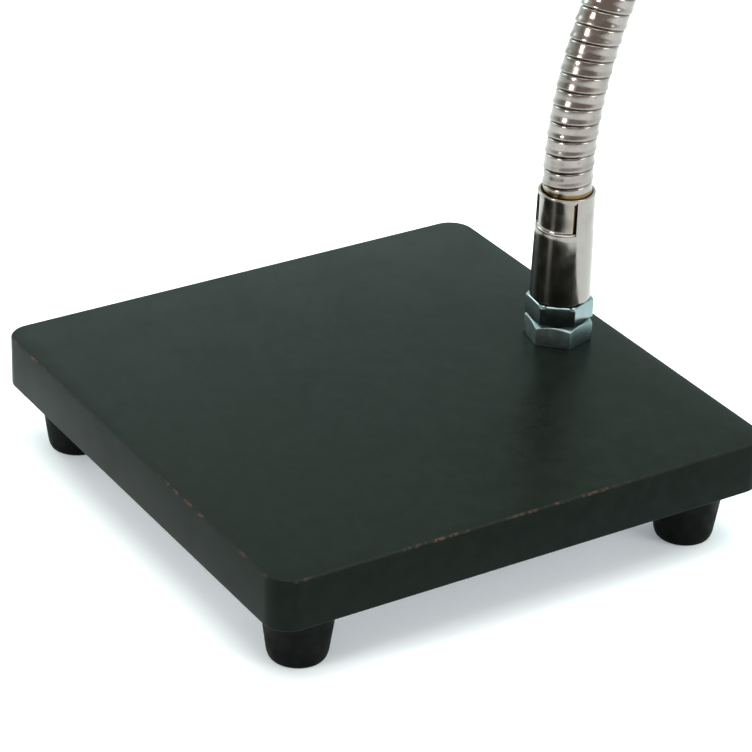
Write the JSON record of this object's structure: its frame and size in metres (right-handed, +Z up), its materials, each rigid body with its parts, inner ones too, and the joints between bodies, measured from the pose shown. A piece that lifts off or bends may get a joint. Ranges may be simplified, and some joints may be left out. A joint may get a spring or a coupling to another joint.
{
  "type": "gooseneck podium microphone",
  "caption": "Square black steel desk base on rubber feet, hexagon nuts and a chromed ferrule, and a bendable stripwound neck with a slim mesh-topped microphone head.",
  "frame": {"origin": "on the table under the centre of the square base, which is also the middle of the whole object's box; the feet rest at z = 0", "axes": "+Z up through the slab; -Y is the front, towards the person speaking; the neck rises from the middle of the rear (+Y) edge"},
  "size_m": [0.15, 0.18, 0.3738],
  "materials": {
    "black_paint": "satin black enamel, slightly mottled, worn along the edges",
    "plain_steel": "plain sheet steel",
    "foot_rubber": "matt black moulded rubber",
    "zinc_plate": "bright bluish zinc plating",
    "chrome_plate": "polished chrome plating",
    "barrel_coat": "satin black coating",
    "grille_wire": "black-coated woven wire",
    "grey_foam": "open-cell foam",
    "capsule_rubber": "soft rubber",
    "capsule_shell": "satin plated shell",
    "circuit_board": "green glass-epoxy board",
    "black_insulator": "moulded plastic",
    "gold_plate": "gold plating",
    "lead_jacket": "thin flexible jacket"
  },
  "bodies": {
    "base": {"base_plate": "black_paint", "bottom_cover": "plain_steel", "foot_front_left": "foot_rubber", "foot_screw_front_left": "zinc_plate", "foot_washer_front_left": "zinc_plate", "foot_front_right": "foot_rubber", "foot_screw_front_right": "zinc_plate", "foot_washer_front_right": "zinc_plate", "foot_rear_left": "foot_rubber", "foot_screw_rear_left": "zinc_plate", "foot_washer_rear_left": "zinc_plate", "foot_rear_right": "foot_rubber", "foot_screw_rear_right": "zinc_plate", "foot_washer_rear_right": "zinc_plate", "threaded_nipple": "zinc_plate", "base_nut": "zinc_plate", "lock_nut": "zinc_plate", "under_nut": "zinc_plate", "under_washer": "zinc_plate", "lower_ferrule": "chrome_plate", "neck_link_01": "chrome_plate", "neck_lead": "lead_jacket", "inlet_shell": "zinc_plate", "inlet_insulator": "black_insulator", "inlet_pin_1": "gold_plate", "inlet_pin_2": "gold_plate", "inlet_pin_3": "gold_plate"},
    "neck_02": {"neck_link_02": "chrome_plate"},
    "neck_03": {"neck_link_03": "chrome_plate"},
    "neck_04": {"neck_link_04": "chrome_plate"},
    "neck_05": {"neck_link_05": "chrome_plate"},
    "neck_06": {"neck_link_06": "chrome_plate"},
    "neck_07": {"neck_link_07": "chrome_plate"},
    "neck_08": {"neck_link_08": "chrome_plate"},
    "neck_09": {"neck_link_09": "chrome_plate"},
    "neck_10": {"neck_link_10": "chrome_plate"},
    "neck_11": {"neck_link_11": "chrome_plate"},
    "neck_12": {"neck_link_12": "chrome_plate"},
    "head": {"neck_link_13": "chrome_plate", "upper_ferrule": "chrome_plate", "mic_barrel": "barrel_coat", "grille_ring": "chrome_plate", "grille": "grille_wire", "foam_liner": "grey_foam", "capsule_mount": "capsule_rubber", "capsule": "capsule_shell", "preamp_board": "circuit_board"}
  },
  "joints": [
    {"name": "neck_bend_low_1", "type": "hinge", "parent": "base", "child": "neck_02", "pos_m": [0, 0.05856, 0.0834], "axis": [1, 0.002, 0.001], "range_deg": [-15, 12], "deforming": ["neck_lead"]},
    {"name": "neck_side_low_1", "type": "hinge", "parent": "neck_02", "child": "neck_03", "pos_m": [0, 0.06105, 0.10573], "axis": [0, -0.9812, 0.1929], "range_deg": [-12, 12]},
    {"name": "neck_bend_low_2", "type": "hinge", "parent": "neck_03", "child": "neck_04", "pos_m": [0, 0.0672, 0.12735], "axis": [1, 0.002, 0.001], "range_deg": [-15, 12]},
    {"name": "neck_side_low_2", "type": "hinge", "parent": "neck_04", "child": "neck_05", "pos_m": [0, 0.07575, 0.14816], "axis": [0, -0.9358, 0.3525], "range_deg": [-12, 12]},
    {"name": "neck_bend_low_3", "type": "hinge", "parent": "neck_05", "child": "neck_06", "pos_m": [0, 0.08166, 0.16984], "axis": [1, 0.002, 0.001], "range_deg": [-15, 12]},
    {"name": "neck_side_low_3", "type": "hinge", "parent": "neck_06", "child": "neck_07", "pos_m": [0, 0.08344, 0.19223], "axis": [0, -0.9999, -0.0147], "range_deg": [-12, 12]},
    {"name": "neck_bend_high_1", "type": "hinge", "parent": "neck_07", "child": "neck_08", "pos_m": [0, 0.08101, 0.21457], "axis": [1, 0.002, 0.001], "range_deg": [-15, 12]},
    {"name": "neck_side_high_1", "type": "hinge", "parent": "neck_08", "child": "neck_09", "pos_m": [0, 0.07445, 0.23606], "axis": [0, -0.925, -0.3799], "range_deg": [-12, 12]},
    {"name": "neck_bend_high_2", "type": "hinge", "parent": "neck_09", "child": "neck_10", "pos_m": [0, 0.06401, 0.25595], "axis": [1, 0.002, 0.001], "range_deg": [-15, 12]},
    {"name": "neck_side_high_2", "type": "hinge", "parent": "neck_10", "child": "neck_11", "pos_m": [0, 0.05004, 0.27355], "axis": [0, -0.7216, -0.6923], "range_deg": [-12, 12]},
    {"name": "neck_bend_high_3", "type": "hinge", "parent": "neck_11", "child": "neck_12", "pos_m": [0, 0.03304, 0.28824], "axis": [1, 0.002, 0.001], "range_deg": [-15, 12]},
    {"name": "neck_side_high_3", "type": "hinge", "parent": "neck_12", "child": "head", "pos_m": [0, 0.01438, 0.30081], "axis": [0, -0.5524, -0.8336], "range_deg": [-12, 12]}
  ],
  "couplings": [
    {"joint": "neck_bend_low_2", "follows": "neck_bend_low_1", "ratio": 1},
    {"joint": "neck_side_low_2", "follows": "neck_side_low_1", "ratio": 1},
    {"joint": "neck_bend_low_3", "follows": "neck_bend_low_1", "ratio": 1},
    {"joint": "neck_side_low_3", "follows": "neck_side_low_1", "ratio": 1},
    {"joint": "neck_bend_high_2", "follows": "neck_bend_high_1", "ratio": 1},
    {"joint": "neck_side_high_2", "follows": "neck_side_high_1", "ratio": 1},
    {"joint": "neck_bend_high_3", "follows": "neck_bend_high_1", "ratio": 1},
    {"joint": "neck_side_high_3", "follows": "neck_side_high_1", "ratio": 1}
  ]
}
